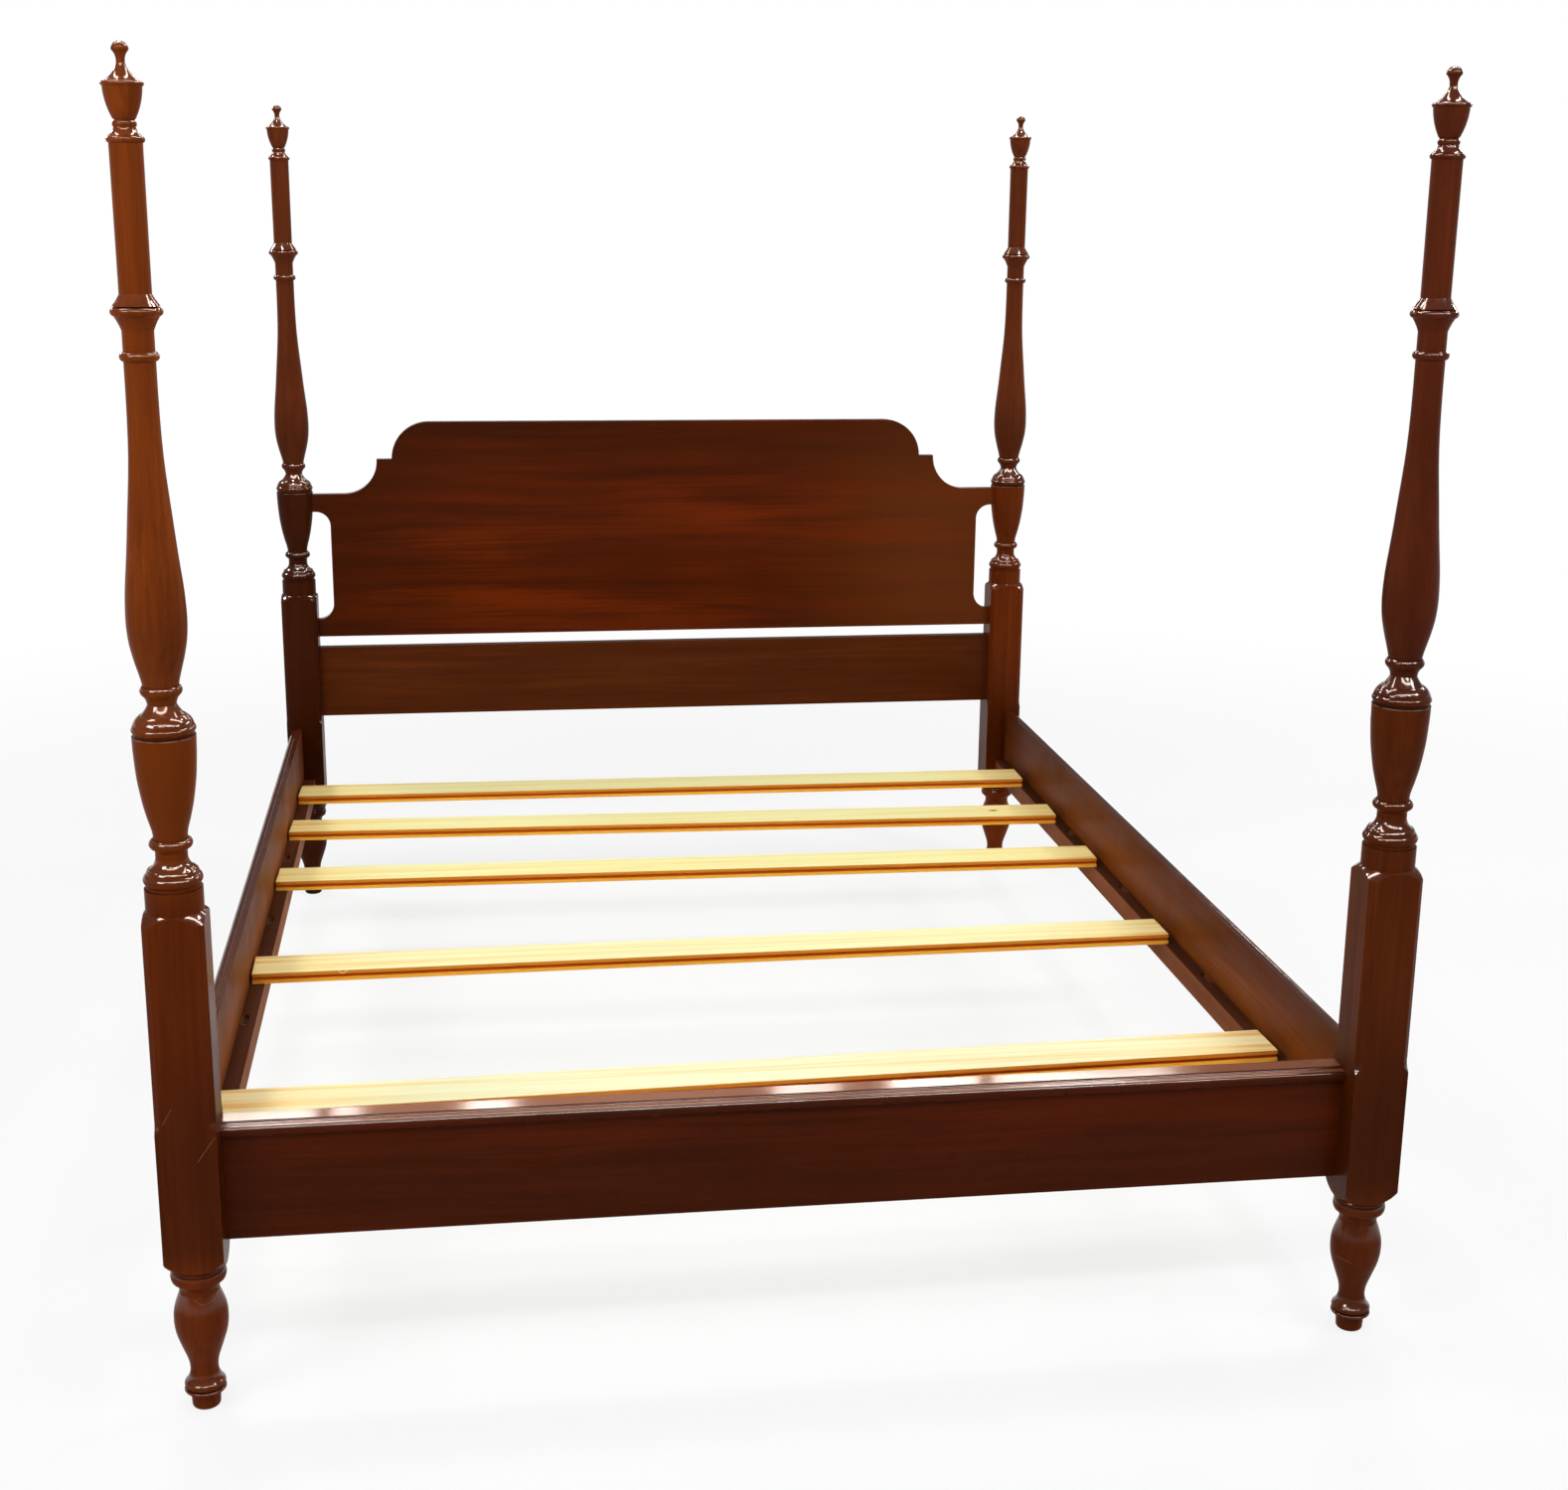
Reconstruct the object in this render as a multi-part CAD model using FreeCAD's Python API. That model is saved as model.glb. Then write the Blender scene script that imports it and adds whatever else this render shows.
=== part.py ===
import FreeCAD, Part
import math
import os
from FreeCAD import Vector

# Four-poster bed with turned posts, a shaped headboard, hooked side rails and loose slats.
# The origin is on the floor in the middle of the bed: +Z up, +Y to the head, +X to the right.
# Left and right are as seen from the foot of the bed. All sizes are in millimetres.

# Plan of the frame and the fits
post_spacing_across = 1597.0
post_spacing_along = 2155.0
glue_gap = 0.1
pin_clearance = 0.06
cut_overrun = 5.0

# Turned foot of a post, from the floor up
foot_tip_radius = 19.6
foot_tip_taper = 1.0
foot_tip_round = 4.5
foot_tip_height = 22.0
foot_lip_radius = 24.8
foot_lip_height = 2.0
foot_ring_radius = 27.4
foot_ring_height = 5.0
foot_groove_depth = 0.9
foot_groove_height = 1.2
foot_swell_radius = 26.9
foot_swell_height = 9.0
ankle_radius = 18.2
ankle_height = 18.8
bulb_radius = 35.2
bulb_height = 111.5
bulb_shares = [(0.578, 0.123), (0.691, 0.228), (0.806, 0.333), (0.914, 0.439), (0.981, 0.544),
               (1.0, 0.658), (0.954, 0.798), (0.860, 0.899), (0.742, 1.0)]
foot_cove_height = 16.5
foot_torus_seat = 34.4
foot_torus_radius = 36.1
foot_torus_height = 14.0
foot_slit_depth = 1.0
foot_slit_height = 1.4
foot_bead_radius = 36.0
foot_bead_height = 5.6

# Square block of a post, with turned shoulders and stopped corner chamfers
block_side = 76.4
block_height = 488.0
shoulder_radius = 36.0
shoulder_overrun = 3.5
low_shoulder_rise = 26.0
top_shoulder_rise = 30.0
chamfer_leg = 7.5
tongue_rise = 189.0
tongue_length = 30.0
tongue_overrun = 1.5

# Turned stem above the block, up to the joint of the post
collar_height = 29.5
collar_groove_depth = 2.3
collar_groove_height = 5.0
stem_torus_radius = 36.6
stem_torus_height = 13.5
stem_dome_radius = 33.0
stem_dome_height = 6.0
stem_fillet_radius = 30.4
stem_fillet_depth = 1.4
stem_flare_height = 14.0
stem_neck_radius = 19.8
stem_neck_height = 6.0
stem_cove_height = 6.5
stem_astragal_seat = 22.9
stem_astragal_radius = 26.8
stem_astragal_height = 12.5
low_vase_foot_radius = 21.0
low_vase_radius = 38.6
low_vase_height = 132.0
low_vase_shares = [(0.571, 0.083), (0.657, 0.174), (0.735, 0.265), (0.804, 0.356), (0.868, 0.470),
                   (0.919, 0.576), (0.956, 0.697), (0.983, 0.826), (1.0, 1.0)]

# Turned upper post above the joint
joint_groove_radius = 37.0
joint_groove_height = 4.5
joint_bead_radius = 38.9
joint_bead_height = 8.0
dome_height = 13.5
dome_top_radius = 27.8
dome_fillet_depth = 1.5
flare_height = 13.0
neck_radius = 17.6
neck_height = 0.8
neck_cove_height = 11.2
astragal_seat = 23.1
astragal_radius = 25.5
astragal_height = 11.0
vase_foot_radius = 21.6
vase_radius = 36.2
vase_height = 390.0
vase_shares = [(0.702, 0.043), (0.794, 0.074), (0.871, 0.104), (0.937, 0.135), (0.976, 0.166),
               (0.997, 0.204), (0.984, 0.258), (0.954, 0.304), (0.900, 0.355), (0.836, 0.412),
               (0.718, 0.535), (0.602, 0.658), (0.559, 0.720), (0.530, 0.797), (0.516, 0.885),
               (0.515, 1.0)]
high_astragal_seat = 19.5
high_astragal_radius = 23.2
high_astragal_height = 11.0
high_neck_radius = 18.5
high_neck_height = 24.5
high_cove_height = 16.5
high_torus_seat = 26.4
high_torus_radius = 30.4
high_torus_height = 10.5
high_slit_depth = 0.9
high_slit_height = 1.5
high_dome_radius = 27.6
high_dome_height = 13.5
shaft_foot_radius = 18.9
shaft_top_radius = 19.3
shaft_height = 169.5

# Finial
finial_seat = 19.9
finial_ring_radius = 21.9
finial_ring_height = 7.0
finial_bell_height = 10.0
finial_neck_radius = 12.6
finial_bead_radius = 13.8
finial_bead_height = 7.0
finial_slit_depth = 0.8
finial_slit_height = 2.0
cup_foot_radius = 12.8
cup_height = 36.0
cup_radius = 22.4
rim_radius = 24.3
rim_height = 5.5
lid_radius = 21.0
lid_height = 19.5
knob_neck_radius = 5.0
knob_neck_height = 2.0
knob_seat = 9.0
knob_cone_height = 11.5
knob_radius = 9.9
knob_low_height = 1.5
knob_top_height = 9.0
knob_tip_radius = 1.2

# Metal that joins the turned pieces
stud_radius = 6.0
stud_length = 120.0
pin_radius = 3.0
pin_hold = 32.0
pin_reach = 20.0
pin_end_gap = 1.0

# Foot rail, behind the middle of the foot posts
foot_rail_rise = 29.0
foot_rail_height = 164.0
foot_rail_thickness = 32.0
foot_rail_setback = 4.0
foot_rail_flat = 26.0
foot_rail_nose_drop = 3.6
foot_rail_nose_height = 14.0
foot_rail_nose_width = 10.0
foot_rail_quirk = 4.0

# Side rails, outside the middle of the posts
side_rail_rise = 29.0
side_rail_height = 160.0
side_rail_offset = 6.0
side_rail_thickness = 20.0
side_rail_flat = 10.5
side_rail_nose_drop = 2.6
side_rail_nose_height = 12.0
side_rail_nose_width = 3.0
side_rail_quirk = 2.0

# Head cross rail and headboard panel, on the middle of the head posts
cross_rail_rise = 211.0
cross_rail_height = 155.5
cross_rail_thickness = 22.0
tenon_length = 36.0
tenon_thickness = 12.0
tenon_shoulder = 12.0
panel_gap = 25.0
panel_thickness = 20.0
panel_seat = 18.0
lug_height = 38.0
notch_radius = 36.0
notch_top_radius = 31.0
ear_drop = 5.5
ear_height = 38.0
ear_length = 66.8
scoop_radius = 73.5
step_rise = 2.1
step_width = 32.5
crown_radius = 81.0

# Ledgers and their pocket screws
ledger_rise = 9.0
ledger_width = 25.0
ledger_height = 37.0
ledger_end_gap = 17.5
pocket_place_shares = [-0.42, -0.203, 0.032, 0.215, 0.42]
pocket_length = 44.0
pocket_width = 11.0
pocket_depth = 10.0
pocket_inset = 7.5
pocket_screw_length = 34.0
pocket_screw_angle = 35.0

# Loose tongue and groove slats, cut a little short of the space between the side rails
slat_end_gap = 11.5
slat_shift_share = 0.65
slat_width = 84.0
slat_thickness = 18.0
slat_tongue_width = 5.0
slat_tongue_thickness = 5.4
slat_groove_depth = 6.0
slat_groove_width = 6.0
slat_place_shares = [-0.350, -0.096, 0.122, 0.267, 0.395]
slat_skew_angles = [1.6, 0.5, -1.1, -1.9, -1.1]

# Hook plates on the side rails and slotted keeper plates in the posts
plate_width = 15.0
plate_height = 130.0
plate_thickness = 3.0
hook_thickness = 3.0
hook_height = 12.0
hook_drop = 11.0
hook_leg = 6.0
hook_play = 0.5
hook_places = [26.0, -34.0]
slot_height = 26.0
hook_pocket_width = 8.0
plate_screw_place = 57.0
plate_screw_length = 24.0
screw_head_radius = 3.9
screw_head_height = 2.2
screw_shank_radius = 1.9
screw_tip_height = 4.0
screw_tip_radius = 0.6

# How far each arc stands off its chord, as a share of the chord: round is out, hollow is in
quarter_share = 0.207
gentle_round_share = 0.085
full_round_share = 0.12
cup_round_share = 0.055
low_shoulder_round_share = 0.08
top_shoulder_round_share = 0.1
deep_hollow_share = -0.17
hollow_share = -0.1
slight_hollow_share = -0.03
tongue_turn_share = 0.5
nose_tip_share = 0.45
nose_soffit_share = 0.5

# Levels and places that follow from the sizes above
block_bottom = (foot_tip_height + foot_lip_height + foot_ring_height + foot_groove_height
                + foot_swell_height + ankle_height + bulb_height + foot_cove_height
                + foot_torus_height + foot_slit_height + foot_bead_height)
block_top = block_bottom + block_height
joint_level = (block_top + collar_height + collar_groove_height + stem_torus_height
               + stem_dome_height + stem_flare_height + stem_neck_height + stem_cove_height
               + stem_astragal_height + low_vase_height)
post_top = (joint_level + joint_groove_height + joint_bead_height + dome_height + flare_height
            + neck_height + neck_cove_height + astragal_height + vase_height + high_astragal_height
            + high_neck_height + high_cove_height + high_torus_height + high_slit_height
            + high_dome_height + shaft_height)
post_x = post_spacing_across / 2
post_y = post_spacing_along / 2
face_x = post_x - block_side / 2
face_y = post_y - block_side / 2
half_diagonal = block_side / math.sqrt(2)
foot_rail_bottom = block_bottom + foot_rail_rise
side_rail_bottom = block_bottom + side_rail_rise
side_rail_inner = post_x + side_rail_offset
rail_middle_x = side_rail_inner + side_rail_thickness / 2
hook_level = side_rail_bottom + side_rail_height / 2
cross_rail_bottom = block_bottom + cross_rail_rise
panel_bottom = cross_rail_bottom + cross_rail_height + panel_gap
ear_top = joint_level - ear_drop
panel_end = post_x - panel_seat
ledger_bottom = side_rail_bottom + ledger_rise
ledger_top = ledger_bottom + ledger_height
ledger_length = 2 * (face_y - ledger_end_gap)
slat_length = 2 * (side_rail_inner - slat_end_gap)
slat_shift = -slat_end_gap * slat_shift_share

origin = Vector(0, 0, 0)
x_axis = Vector(1, 0, 0)
y_axis = Vector(0, 1, 0)
z_axis = Vector(0, 0, 1)
sides = ["left", "right"]
ends = ["foot", "head"]


# Lines, arcs and smooth curves of outlines in the upright XZ plane
def line(start, end):
    return Part.LineSegment(start, end).toShape()


def bowed(start, end, bow_share):
    chord = end - start
    outward = Vector(chord.z, 0, -chord.x)
    middle = (start + end) / 2 + outward * bow_share
    return Part.Arc(start, middle, end).toShape()


def filled(edges):
    return Part.Face(Part.Wire(edges))


class Turning:
    """A lathe outline that climbs the axis, one moulding after another."""

    def __init__(self, radius, height):
        self.edges = []
        self.start = Vector(radius, 0, height)
        self.here = self.start

    def climb(self, radius, rise):
        return Vector(radius, 0, self.here.z + rise)

    def add(self, edge, end):
        self.edges.append(edge)
        self.here = end

    def straight(self, radius, rise):
        end = self.climb(radius, rise)
        self.add(line(self.here, end), end)

    def arc(self, radius, rise, bow_share):
        end = self.climb(radius, rise)
        self.add(bowed(self.here, end, bow_share), end)

    def bead(self, crest_radius, rise):
        end = self.climb(self.here.x, rise)
        crest = self.climb(crest_radius, rise / 2)
        self.add(Part.Arc(self.here, crest, end).toShape(), end)

    def groove(self, depth, rise):
        rim = self.here.x
        self.straight(rim - depth, 0)
        self.straight(rim - depth, rise)
        self.straight(rim, 0)

    def curve(self, radius, rise, shares):
        places = [self.climb(radius * across, rise * up) for across, up in shares]
        spline = Part.BSplineCurve()
        spline.interpolate([self.here] + places)
        self.add(spline.toShape(), places[-1])

    def solid(self):
        top = Vector(0, 0, self.here.z)
        bottom = Vector(0, 0, self.start.z)
        closing = [line(self.here, top), line(top, bottom), line(bottom, self.start)]
        return filled(self.edges + closing).revolve(origin, z_axis, 360)


# Boxes and corners
def slab(x_span, y_span, z_span):
    low = Vector(min(x_span), min(y_span), min(z_span))
    high = Vector(max(x_span), max(y_span), max(z_span))
    size = high - low
    return Part.makeBox(size.x, size.y, size.z, low)


def around(middle, width):
    return (middle - width / 2, middle + width / 2)


def at_corner(shape, side, end):
    # Corner pieces are drawn at the head right and mirrored to the other corners
    if side == "left":
        shape = shape.mirror(origin, x_axis)
    if end == "foot":
        shape = shape.mirror(origin, y_axis)
    return shape


def at_post(shape):
    return shape.translated(Vector(post_x, post_y, 0))


def upright_rod(radius, low, high):
    return Part.makeCylinder(radius, high - low, Vector(0, 0, low))


# Lower post: turned foot, square block and turned stem in one piece of wood
def turned_foot():
    pad_radius = foot_tip_radius - foot_tip_taper
    outline = Turning(pad_radius - foot_tip_round, 0)
    outline.arc(pad_radius, foot_tip_round, quarter_share)
    outline.straight(foot_tip_radius, foot_tip_height - foot_tip_round)
    outline.arc(foot_lip_radius, foot_lip_height, hollow_share)
    outline.bead(foot_ring_radius, foot_ring_height)
    outline.groove(foot_groove_depth, foot_groove_height)
    outline.bead(foot_swell_radius, foot_swell_height)
    outline.arc(ankle_radius, ankle_height, hollow_share)
    outline.curve(bulb_radius, bulb_height, bulb_shares)
    outline.arc(foot_torus_seat, foot_cove_height, deep_hollow_share)
    outline.bead(foot_torus_radius, foot_torus_height)
    outline.groove(foot_slit_depth, foot_slit_height)
    outline.bead(foot_bead_radius, foot_bead_height)
    return outline.solid()


def chamfer_cutter():
    # Corner chamfer whose lower end runs out to the corner in a lamb's tongue curve
    flat = half_diagonal - chamfer_leg / math.sqrt(2)
    tongue_bottom = block_bottom + tongue_rise
    tongue_tip = Vector(half_diagonal + tongue_overrun, 0, tongue_bottom)
    tongue_turn = Vector((flat + half_diagonal) / 2, 0, tongue_bottom + tongue_length * tongue_turn_share)
    tongue_top = Vector(flat, 0, tongue_bottom + tongue_length)
    inner_top = Vector(flat, 0, block_top)
    outer_top = Vector(half_diagonal + cut_overrun, 0, block_top)
    outer_bottom = Vector(half_diagonal + cut_overrun, 0, tongue_bottom)
    edges = [bowed(tongue_tip, tongue_turn, gentle_round_share),
             bowed(tongue_turn, tongue_top, -gentle_round_share),
             line(tongue_top, inner_top),
             line(inner_top, outer_top),
             line(outer_top, outer_bottom),
             line(outer_bottom, tongue_tip)]
    cutter = filled(edges).translated(Vector(0, -block_side / 2, 0))
    return cutter.extrude(Vector(0, block_side, 0))


def square_block():
    reach = half_diagonal + shoulder_overrun
    envelope = Turning(shoulder_radius, block_bottom)
    envelope.arc(reach, low_shoulder_rise, low_shoulder_round_share)
    envelope.straight(reach, block_height - low_shoulder_rise - top_shoulder_rise)
    envelope.arc(shoulder_radius, top_shoulder_rise, top_shoulder_round_share)
    square = slab(around(0, block_side), around(0, block_side), (block_bottom, block_top))
    block = envelope.solid().common(square)
    cutter = chamfer_cutter()
    for corner in range(4):
        block = block.cut(cutter.rotated(origin, z_axis, 45 + 90 * corner))
    return block


def turned_stem():
    outline = Turning(shoulder_radius, block_top)
    outline.straight(shoulder_radius, collar_height)
    outline.groove(collar_groove_depth, collar_groove_height)
    outline.straight(stem_dome_radius, 0)
    outline.bead(stem_torus_radius, stem_torus_height)
    outline.arc(stem_fillet_radius, stem_dome_height, gentle_round_share)
    outline.straight(stem_fillet_radius - stem_fillet_depth, 0)
    outline.arc(stem_neck_radius, stem_flare_height, hollow_share)
    outline.straight(stem_neck_radius, stem_neck_height)
    outline.arc(stem_astragal_seat, stem_cove_height, deep_hollow_share)
    outline.bead(stem_astragal_radius, stem_astragal_height)
    outline.straight(low_vase_foot_radius, 0)
    outline.curve(low_vase_radius, low_vase_height, low_vase_shares)
    return outline.solid()


def panel_mortises():
    thickness = around(post_y, panel_thickness + 2 * glue_gap)
    span = (face_x - cut_overrun, panel_end + glue_gap)
    lug = slab(span, thickness, (panel_bottom - glue_gap, panel_bottom + lug_height + glue_gap))
    ear = slab(span, thickness, (ear_top - ear_height - glue_gap, ear_top + glue_gap))
    return [lug, ear]


def tenon(middle_y, bottom, height, spare):
    span = (face_x - spare, face_x + tenon_length + spare)
    thickness = around(middle_y, tenon_thickness + 2 * spare)
    return slab(span, thickness, (bottom + tenon_shoulder - spare, bottom + height - tenon_shoulder + spare))


def foot_rail_tenon(spare):
    middle_y = post_y - foot_rail_setback - foot_rail_thickness / 2
    return tenon(middle_y, foot_rail_bottom, foot_rail_height, spare)


def cross_rail_tenon(spare):
    return tenon(post_y, cross_rail_bottom, cross_rail_height, spare)


def stud_bore():
    half = stud_length / 2 + pin_end_gap
    return upright_rod(stud_radius + glue_gap, joint_level - half, joint_level + half)


# Screws are drawn with the head's top at the origin and the shank pointing down
def wood_screw(length, spare):
    outline = Turning(screw_tip_radius + spare, -length - spare)
    outline.straight(screw_shank_radius + spare, screw_tip_height)
    outline.straight(screw_shank_radius + spare, length + spare - screw_tip_height - screw_head_height)
    outline.straight(screw_head_radius + spare, screw_head_height)
    return outline.solid()


def aimed(shape, place, direction):
    turned = shape.copy()
    turned.Placement = FreeCAD.Placement(place, FreeCAD.Rotation(z_axis, direction))
    return turned


def plate_screws(direction, spare):
    screw = wood_screw(plate_screw_length, spare)
    levels = [hook_level - plate_screw_place, hook_level + plate_screw_place]
    return [aimed(screw, Vector(rail_middle_x, face_y, level), direction) for level in levels]


# Rail hardware: hooks on a plate in the rail's end drop behind a slotted keeper in the post
def plate_blank(y_span, spare):
    width = around(rail_middle_x, plate_width + 2 * spare)
    return slab(width, y_span, around(hook_level, plate_height + 2 * spare))


def hook_slots(width, y_span, below):
    span = around(rail_middle_x, width)
    slots = []
    for place in hook_places:
        seat = hook_level + place
        slots.append(slab(span, y_span, (seat - below, seat + slot_height)))
    return slots


def keeper_plate():
    plate = plate_blank((face_y, face_y + plate_thickness), 0)
    slots = hook_slots(hook_thickness + 2 * hook_play, (face_y, face_y + plate_thickness), 0)
    return plate.cut(slots + plate_screws(-y_axis, glue_gap))


def hook_plate():
    plate = plate_blank((face_y - plate_thickness, face_y), 0)
    width = around(rail_middle_x, hook_thickness)
    leg_start = face_y + plate_thickness + hook_play
    for place in hook_places:
        seat = hook_level + place
        arm = slab(width, (face_y - plate_thickness, leg_start + hook_leg), (seat, seat + hook_height))
        leg = slab(width, (leg_start, leg_start + hook_leg), (seat - hook_drop, seat + hook_height))
        plate = plate.fuse([arm, leg])
    return plate.cut(plate_screws(y_axis, glue_gap)).removeSplitter()


def keeper_seat():
    recess = plate_blank((face_y - cut_overrun, face_y + plate_thickness), glue_gap)
    pocket_end = face_y + plate_thickness + hook_leg + 4 * hook_play
    pockets = hook_slots(hook_pocket_width, (face_y, pocket_end), hook_drop + hook_play)
    return [recess] + pockets + plate_screws(-y_axis, glue_gap)


def lower_post(side, end):
    post = turned_foot().fuse([square_block(), turned_stem()]).removeSplitter()
    post = at_post(post.cut(stud_bore()))
    cuts = keeper_seat()
    if end == "head":
        cuts = cuts + panel_mortises() + [cross_rail_tenon(glue_gap)]
    else:
        cuts = cuts + [foot_rail_tenon(glue_gap)]
    return at_corner(post.cut(cuts), side, end)


# Upper post: one turned piece screwed to the lower post
def turned_upper_post():
    outline = Turning(joint_groove_radius, joint_level)
    outline.straight(joint_groove_radius, joint_groove_height)
    outline.bead(joint_bead_radius, joint_bead_height)
    outline.arc(dome_top_radius, dome_height, full_round_share)
    outline.straight(dome_top_radius - dome_fillet_depth, 0)
    outline.arc(neck_radius, flare_height, slight_hollow_share)
    outline.straight(neck_radius, neck_height)
    outline.arc(astragal_seat, neck_cove_height, hollow_share)
    outline.bead(astragal_radius, astragal_height)
    outline.straight(vase_foot_radius, 0)
    outline.curve(vase_radius, vase_height, vase_shares)
    outline.straight(high_astragal_seat, 0)
    outline.bead(high_astragal_radius, high_astragal_height)
    outline.straight(high_neck_radius, 0)
    outline.straight(high_neck_radius, high_neck_height)
    outline.arc(high_torus_seat, high_cove_height, slight_hollow_share)
    outline.bead(high_torus_radius, high_torus_height)
    outline.groove(high_slit_depth, high_slit_height)
    outline.straight(high_dome_radius, 0)
    outline.arc(shaft_foot_radius, high_dome_height, slight_hollow_share)
    outline.straight(shaft_top_radius, shaft_height)
    return outline.solid()


def upper_post(side, end):
    pin_hole = upright_rod(pin_radius + glue_gap, post_top - pin_hold - pin_end_gap, post_top)
    post = turned_upper_post().cut([stud_bore(), pin_hole])
    return at_corner(at_post(post), side, end)


def post_stud(side, end):
    stud = upright_rod(stud_radius, joint_level - stud_length / 2, joint_level + stud_length / 2)
    return at_corner(at_post(stud), side, end)


# Finial: a turned urn that lifts off its steel pin
def finial(side, end):
    outline = Turning(finial_seat, post_top)
    outline.bead(finial_ring_radius, finial_ring_height)
    outline.arc(finial_neck_radius, finial_bell_height, hollow_share)
    outline.bead(finial_bead_radius, finial_bead_height)
    outline.groove(finial_slit_depth, finial_slit_height)
    outline.straight(cup_foot_radius, 0)
    outline.arc(cup_radius, cup_height, cup_round_share)
    outline.bead(rim_radius, rim_height)
    outline.straight(lid_radius, 0)
    outline.arc(knob_neck_radius, lid_height, hollow_share)
    outline.straight(knob_neck_radius, knob_neck_height)
    outline.arc(knob_seat, knob_cone_height, hollow_share)
    outline.arc(knob_radius, knob_low_height, gentle_round_share)
    outline.arc(knob_tip_radius, knob_top_height, quarter_share)
    pin_hole = upright_rod(pin_radius + pin_clearance, post_top, post_top + pin_reach + pin_end_gap)
    return at_corner(at_post(outline.solid().cut(pin_hole)), side, end)


def finial_pin(side, end):
    pin = upright_rod(pin_radius, post_top - pin_hold, post_top + pin_reach)
    return at_corner(at_post(pin), side, end)


# Rails with a moulded outer top edge: inner face at x 0, standing on z 0, running along y
def moulded_rail(length, height, thickness, flat, quirk, nose_drop, nose_height, nose_width):
    nose_top = height - nose_drop
    soffit = nose_top - nose_height
    corners = [Vector(flat, 0, height),
               Vector(0, 0, height),
               origin,
               Vector(thickness, 0, 0),
               Vector(thickness, 0, soffit),
               Vector(thickness + nose_width * nose_soffit_share, 0, soffit)]
    edges = [line(start, end) for start, end in zip(corners, corners[1:])]
    nose_start = Vector(flat + quirk, 0, nose_top)
    nose_tip = Vector(thickness + nose_width, 0, nose_top - nose_height * nose_tip_share)
    edges.append(Part.Arc(corners[-1], nose_tip, nose_start).toShape())
    edges.append(bowed(nose_start, corners[0], deep_hollow_share))
    rail = filled(edges).extrude(Vector(0, length, 0))
    return rail.translated(Vector(0, -length / 2, 0))


def foot_rail():
    rail = moulded_rail(2 * face_x, foot_rail_height, foot_rail_thickness, foot_rail_flat, foot_rail_quirk,
                        foot_rail_nose_drop, foot_rail_nose_height, foot_rail_nose_width)
    inner_face = foot_rail_setback + foot_rail_thickness - post_y
    rail = rail.rotated(origin, z_axis, -90).translated(Vector(0, inner_face, foot_rail_bottom))
    tenons = [at_corner(foot_rail_tenon(0), side, "foot") for side in sides]
    return rail.fuse(tenons).removeSplitter()


def ledger_screws_right(spare):
    angle = math.radians(pocket_screw_angle)
    direction = Vector(-math.sin(angle), 0, math.cos(angle))
    screw = wood_screw(pocket_screw_length, spare)
    places = []
    for share in pocket_place_shares:
        place = Vector(side_rail_inner - pocket_inset, ledger_length * share, ledger_top - pocket_depth)
        places.append(aimed(screw, place, direction))
    return places


def side_rail(side):
    rail = moulded_rail(2 * face_y, side_rail_height, side_rail_thickness, side_rail_flat, side_rail_quirk,
                        side_rail_nose_drop, side_rail_nose_height, side_rail_nose_width)
    rail = rail.translated(Vector(side_rail_inner, 0, side_rail_bottom))
    cuts = [plate_blank((face_y - plate_thickness, face_y + cut_overrun), glue_gap)]
    cuts = cuts + plate_screws(y_axis, glue_gap)
    cuts = cuts + [at_corner(cut, "right", "foot") for cut in cuts]
    return at_corner(rail.cut(cuts + ledger_screws_right(glue_gap)), side, "head")


def pocket(middle_y):
    # Long rounded pocket sunk in the ledger's top
    middle_x = side_rail_inner - pocket_inset
    floor = ledger_top - pocket_depth
    half_run = (pocket_length - pocket_width) / 2
    trough = slab(around(middle_x, pocket_width), around(middle_y, 2 * half_run), (floor, ledger_top))
    rounds = []
    for end_y in [middle_y - half_run, middle_y + half_run]:
        rounds.append(Part.makeCylinder(pocket_width / 2, pocket_depth, Vector(middle_x, end_y, floor)))
    return trough.fuse(rounds).removeSplitter()


def ledger(side):
    bar = slab((side_rail_inner - ledger_width, side_rail_inner), around(0, ledger_length),
               (ledger_bottom, ledger_top))
    pockets = [pocket(ledger_length * share) for share in pocket_place_shares]
    return at_corner(bar.cut(pockets + ledger_screws_right(glue_gap)), side, "head")


# Head cross rail and headboard panel
def head_cross_rail():
    board = slab((-face_x, face_x), around(post_y, cross_rail_thickness),
                 (cross_rail_bottom, cross_rail_bottom + cross_rail_height))
    tenons = [at_corner(cross_rail_tenon(0), side, "head") for side in sides]
    return board.fuse(tenons).removeSplitter()


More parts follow.
